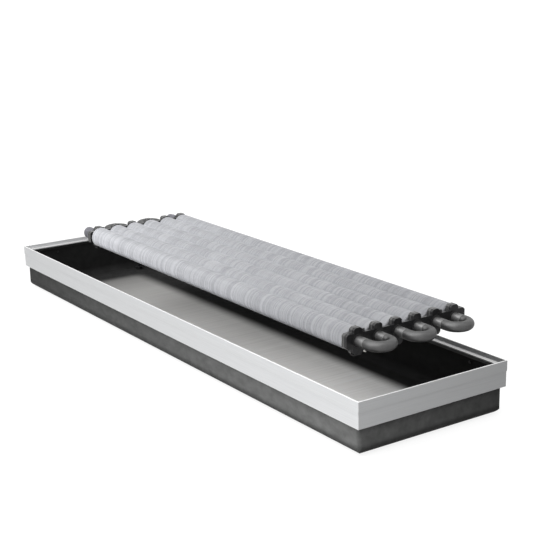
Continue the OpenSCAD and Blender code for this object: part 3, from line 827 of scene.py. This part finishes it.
def bracketPlastic():
    material = plainFinish("bracketPlastic", **bracketLook["plastic"])
    tree = material.node_tree
    shader = tree.nodes["Principled BSDF"]
    plain = shader.inputs["Base Color"].links[0].from_socket
    coords = put(tree, "ShaderNodeTexCoord", (-5, 6))
    # behind the front plate the sides are painted paler, as painted light, with fine dark lines round
    # them
    low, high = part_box("end_bracket_near")
    seam = high[0] - bracketLook["frontShare"] * (high[0] - low[0])
    place = put(tree, "ShaderNodeSeparateXYZ", (-4, 5))
    join(tree, coords, "Object", place, 0)
    facing = put(tree, "ShaderNodeSeparateXYZ", (-4, 6))
    join(tree, coords, "Normal", facing, 0)
    masks = []
    for row, (source, limit) in enumerate(((place, seam), (facing, sideways))):
        size = put(tree, "ShaderNodeMath", (-3, 5 + row), operation="ABSOLUTE")
        join(tree, source, "X", size, 0)
        under = put(tree, "ShaderNodeMath", (-2, 5 + row), operation="LESS_THAN")
        join(tree, size, 0, under, 0)
        under.inputs[1].default_value = limit
        masks.append(under)
    stripes = addGrain(tree, (-3, 8), coords, bracketLook["stripes"], bracketLook["stripeScale"],
                       0.0, 1.0)
    side = mixColours(tree, (-1, 8), bracketLook["sideDark"], bracketLook["sidePaintedLight"])
    join(tree, stripes, 0, side, 0)
    colour = mixColours(tree, (2, 4), bracketLook["sideDark"], bracketLook["sidePaintedLight"])
    join(tree, multiply(tree, (-1, 5), *masks), 0, colour, 0)
    tree.links.new(plain, colour.inputs[6])
    join(tree, side, 2, colour, 7)
    join(tree, colour, 2, shader, "Base Color")
    return material


# the plain finishes, by slot: two tones, the worn edge, how metallic, grain, roughness
plainLooks = {
    "black_rubber": {
        "name": "blackRubber", "dark": (0.010, 0.010, 0.010), "light": (0.022, 0.022, 0.022),
        "edge": (0.04, 0.04, 0.04), "metallic": 0.0, "grain": 160.0, "rough": (0.55, 0.75), "ior": 1.4,
    },
    "zinc_steel": {
        "name": "zincSteel", "dark": (0.085, 0.085, 0.10), "light": (0.15, 0.15, 0.17),
        "edge": (0.30, 0.30, 0.33), "metallic": 0.7, "grain": 110.0, "rough": (0.32, 0.48),
    },
    "dark_screw": {
        "name": "darkScrew", "dark": (0.012, 0.012, 0.013), "light": (0.022, 0.022, 0.023),
        "edge": (0.06, 0.06, 0.06), "metallic": 0.3, "grain": 150.0, "rough": (0.4, 0.55),
    },
    "key_metal": {
        "name": "keyMetal", "dark": (0.5, 0.5, 0.51), "light": (0.66, 0.66, 0.67),
        "edge": (0.8, 0.8, 0.8), "metallic": 0.7, "grain": 90.0, "rough": (0.35, 0.5),
    },
    "vent_metal": {
        "name": "ventMetal", "dark": (0.30, 0.29, 0.27), "light": (0.42, 0.41, 0.38),
        "edge": (0.62, 0.61, 0.58), "metallic": 0.7, "grain": 120.0, "rough": (0.3, 0.45),
    },
}

finishes = {
    "rim_aluminium": rimAluminium(),
    "black_coating": blackCoating(),
    "fin_aluminium": finAluminium(),
    "tube_steel": tubeSteel("tubeSteel", tubeLook["dark"], tubeLook["light"]),
    # the return bends get a darker copy of the tube steel, as painted shade
    "return_bend": tubeSteel("bendSteel", tubeLook["bendDark"], tubeLook["bendLight"]),
    "bracket_plastic": bracketPlastic(),
    **{slot: plainFinish(**look) for slot, look in plainLooks.items()},
}

# nodes whose finish isn't the plain one of their slot
# the levelling parts inside the trough get the near-black screw finish, as painted shade
specialFinishes = {"return_bend": "return_bend", "level_": "dark_screw"}

for part in frame["record"]["subparts"]:
    special = [finish for start, finish in specialFinishes.items() if part["node"].startswith(start)]
    for slot in nodes[part["node"]].material_slots:
        slot.material = finishes[special[0] if special else part["material_slot"]]
print("finishes given to", len(nodes), "nodes")


# fins: thin rings along each tube, with a sleeve between them

finSizes = {
    "spacing": 0.003,
    "thickness": 0.0005,
    "sleeve": 0.0007,
    "lean": 0.015,
    "sides": 24,
    "seed": 7,
    "secondSeed": 31.0,
}
finPacks = sorted(name for name in nodes if name.startswith("fin_pack_"))


def makeRingGroup():
    # a closed ring round Z: inner and outer radius, and its length along Z
    group = newGroup("turnedRing", "GeometryNodeTree", [
        ("Inner", "NodeSocketFloat", 0.01),
        ("Outer", "NodeSocketFloat", 0.02),
        ("Length", "NodeSocketFloat", 0.001),
        ("Sides", "NodeSocketInt", 24),
    ], [("Geometry", "NodeSocketGeometry")])
    start = put(group, "NodeGroupInput", (-4, 0))
    add = put(group, "ShaderNodeMath", (-3, 1), operation="ADD")
    half = put(group, "ShaderNodeMath", (-2, 1), operation="MULTIPLY")
    half.inputs[1].default_value = 0.5
    wide = put(group, "ShaderNodeMath", (-3, -1), operation="SUBTRACT")
    circle = put(group, "GeometryNodeCurvePrimitiveCircle", (-1, 1), mode="RADIUS")
    section = put(group, "GeometryNodeCurvePrimitiveQuadrilateral", (-1, -1))
    sweep = put(group, "GeometryNodeCurveToMesh", (0, 0))
    end = put(group, "NodeGroupOutput", (1, 0))
    join(group, start, "Inner", add, 0)
    join(group, start, "Outer", add, 1)
    join(group, add, 0, half, 0)
    join(group, start, "Outer", wide, 0)
    join(group, start, "Inner", wide, 1)
    join(group, half, 0, circle, "Radius")
    join(group, start, "Sides", circle, "Resolution")
    join(group, wide, 0, section, "Width")
    join(group, start, "Length", section, "Height")
    join(group, circle, 0, sweep, "Curve")
    join(group, section, 0, sweep, "Profile Curve")
    join(group, sweep, 0, end, 0)
    return group


def makeFinTree(ring):
    tree = newGroup("finnedTube", "GeometryNodeTree", [
        ("Geometry", "NodeSocketGeometry", None),
        ("Start", "NodeSocketVector", (0.0, 0.0, 0.0)),
        ("Length", "NodeSocketFloat", 1.0),
        ("Count", "NodeSocketInt", 10),
        ("Tube radius", "NodeSocketFloat", 0.01),
        ("Fin radius", "NodeSocketFloat", 0.02),
        ("Thickness", "NodeSocketFloat", 0.001),
        ("Sleeve", "NodeSocketFloat", 0.001),
        ("Lean", "NodeSocketFloat", 0.0),
        ("Sides", "NodeSocketInt", 24),
        ("Seed", "NodeSocketInt", 0),
        ("Material", "NodeSocketMaterial", None),
    ], [("Geometry", "NodeSocketGeometry")])
    start = put(tree, "NodeGroupInput", (-7, 0))
    inner = put(tree, "ShaderNodeMath", (-6, 3), operation="SUBTRACT")
    join(tree, start, "Length", inner, 0)
    join(tree, start, "Thickness", inner, 1)
    gaps = put(tree, "ShaderNodeMath", (-6, 2), operation="SUBTRACT")
    join(tree, start, "Count", gaps, 0)
    gaps.inputs[1].default_value = 1.0
    step = put(tree, "ShaderNodeMath", (-5, 2), operation="DIVIDE")
    join(tree, inner, 0, step, 0)
    join(tree, gaps, 0, step, 1)
    offset = put(tree, "ShaderNodeCombineXYZ", (-4, 2))
    join(tree, step, 0, offset, "X")
    halfThick = put(tree, "ShaderNodeMath", (-5, 3), operation="MULTIPLY")
    join(tree, start, "Thickness", halfThick, 0)
    halfThick.inputs[1].default_value = 0.5
    firstShift = put(tree, "ShaderNodeCombineXYZ", (-4, 3))
    join(tree, halfThick, 0, firstShift, "X")
    first = put(tree, "ShaderNodeVectorMath", (-3, 3), operation="ADD")
    join(tree, start, "Start", first, 0)
    join(tree, firstShift, 0, first, 1)
    line = put(tree, "GeometryNodeMeshLine", (-2, 2), mode="OFFSET")
    join(tree, start, "Count", line, "Count")
    join(tree, first, 0, line, "Start Location")
    join(tree, offset, 0, line, "Offset")
    fin = put(tree, "GeometryNodeGroup", (-4, 0), node_tree=ring)
    join(tree, start, "Tube radius", fin, "Inner")
    join(tree, start, "Fin radius", fin, "Outer")
    join(tree, start, "Thickness", fin, "Length")
    join(tree, start, "Sides", fin, "Sides")
    # each fin leans a little, as pressed fins do
    leanLow = put(tree, "ShaderNodeMath", (-5, -2), operation="MULTIPLY")
    join(tree, start, "Lean", leanLow, 0)
    leanLow.inputs[1].default_value = -1.0
    leanY = put(tree, "FunctionNodeRandomValue", (-4, -2), data_type="FLOAT")
    leanZ = put(tree, "FunctionNodeRandomValue", (-4, -3), data_type="FLOAT")
    tone = put(tree, "FunctionNodeRandomValue", (-2, -3), data_type="FLOAT")
    tone.inputs[2].default_value = 0.0
    tone.inputs[3].default_value = 1.0
    otherSeed = put(tree, "ShaderNodeMath", (-5, -4), operation="ADD")
    join(tree, start, "Seed", otherSeed, 0)
    otherSeed.inputs[1].default_value = finSizes["secondSeed"]
    for lean, seedNode, seedOut in ((leanY, start, "Seed"), (leanZ, otherSeed, 0)):
        join(tree, leanLow, 0, lean, 2)
        join(tree, start, "Lean", lean, 3)
        join(tree, seedNode, seedOut, lean, "Seed")
    join(tree, otherSeed, 0, tone, "Seed")
    quarter = put(tree, "ShaderNodeMath", (-3, -2), operation="ADD")
    join(tree, leanY, 1, quarter, 0)
    quarter.inputs[1].default_value = math.pi / 2
    turn = put(tree, "ShaderNodeCombineXYZ", (-2, -2))
    join(tree, quarter, 0, turn, "Y")
    join(tree, leanZ, 1, turn, "Z")
    spread = put(tree, "GeometryNodeInstanceOnPoints", (-1, 1))
    join(tree, line, 0, spread, "Points")
    join(tree, fin, 0, spread, "Instance")
    join(tree, turn, 0, spread, "Rotation")
    toned = put(tree, "GeometryNodeStoreNamedAttribute", (0, 1), data_type="FLOAT", domain="INSTANCE")
    toned.inputs["Name"].default_value = "finTone"
    join(tree, spread, 0, toned, "Geometry")
    join(tree, tone, 1, toned, "Value")
    # the sleeve that the fins' collars make round the tube
    sleeveOuter = put(tree, "ShaderNodeMath", (-5, -6), operation="ADD")
    join(tree, start, "Tube radius", sleeveOuter, 0)
    join(tree, start, "Sleeve", sleeveOuter, 1)
    sleeve = put(tree, "GeometryNodeGroup", (-4, -6), node_tree=ring)
    join(tree, start, "Tube radius", sleeve, "Inner")
    join(tree, sleeveOuter, 0, sleeve, "Outer")
    join(tree, start, "Length", sleeve, "Length")
    join(tree, start, "Sides", sleeve, "Sides")
    halfLength = put(tree, "ShaderNodeMath", (-4, -7), operation="MULTIPLY")
    join(tree, start, "Length", halfLength, 0)
    halfLength.inputs[1].default_value = 0.5
    centre = put(tree, "ShaderNodeCombineXYZ", (-3, -7))
    join(tree, halfLength, 0, centre, "X")
    middle = put(tree, "ShaderNodeVectorMath", (-2, -7), operation="ADD")
    join(tree, start, "Start", middle, 0)
    join(tree, centre, 0, middle, 1)
    lay = put(tree, "GeometryNodeTransform", (-1, -6))
    lay.inputs["Rotation"].default_value = (0, math.pi / 2, 0)
    join(tree, sleeve, 0, lay, "Geometry")
    join(tree, middle, 0, lay, "Translation")
    together = put(tree, "GeometryNodeJoinGeometry", (1, 0))
    join(tree, toned, 0, together, 0)
    join(tree, lay, 0, together, 0)
    real = put(tree, "GeometryNodeRealizeInstances", (2, 0))
    join(tree, together, 0, real, 0)
    painted = put(tree, "GeometryNodeSetMaterial", (3, 0))
    join(tree, real, 0, painted, "Geometry")
    join(tree, start, "Material", painted, "Material")
    end = put(tree, "NodeGroupOutput", (4, 0))
    join(tree, painted, 0, end, 0)
    return tree


def runTree(name, tree, values):
    # evaluates a tree on an empty mesh and keeps the result as a plain mesh
    maker = bpy.data.objects.new(name + "Maker", bpy.data.meshes.new(name + "Maker"))
    scene.collection.objects.link(maker)
    modifier = maker.modifiers.new("maker", "NODES")
    modifier.node_group = tree
    items = tree.interface.items_tree
    sockets = {item.name: item.identifier for item in items if item.in_out == "INPUT"}
    for label, value in values.items():
        modifier[sockets[label]] = value
    graph = bpy.context.evaluated_depsgraph_get()
    mesh = bpy.data.meshes.new_from_object(maker.evaluated_get(graph))
    maker.modifiers.remove(modifier)
    bpy.data.objects.remove(maker)
    mesh.name = name
    piece = bpy.data.objects.new(name, mesh)
    scene.collection.objects.link(piece)
    return piece


def makeFins():
    tree = makeFinTree(makeRingGroup())
    tubeLow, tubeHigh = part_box("core_tube_1")
    tubeRadius = (tubeHigh[2] - tubeLow[2]) / 2
    parts = len(finPacks) + 1
    for number, pack in enumerate(finPacks, 1):
        low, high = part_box(pack)
        radius = (high[2] - low[2]) / 2
        margin = radius * finSizes["lean"]
        shift = finSizes["spacing"] * (number * number % parts) / parts  # no two packs line up
        length = high[0] - low[0] - 2 * margin - shift
        centre = ((low[1] + high[1]) / 2, (low[2] + high[2]) / 2)
        piece = runTree("fins_%d" % number, tree, {
            "Start": (low[0] + margin + shift, centre[0], centre[1]),
            "Length": length,
            "Count": int(length / finSizes["spacing"]) + number,
            "Tube radius": tubeRadius,
            "Fin radius": radius,
            "Thickness": finSizes["thickness"],
            "Sleeve": finSizes["sleeve"],
            "Lean": finSizes["lean"],
            "Sides": finSizes["sides"],
            "Seed": finSizes["seed"] + number,
            "Material": finishes["fin_aluminium"],
        })
        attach(piece, "exchanger")
        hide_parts(pack)
        print("fins", number, len(piece.data.polygons), "faces")


makeFins()
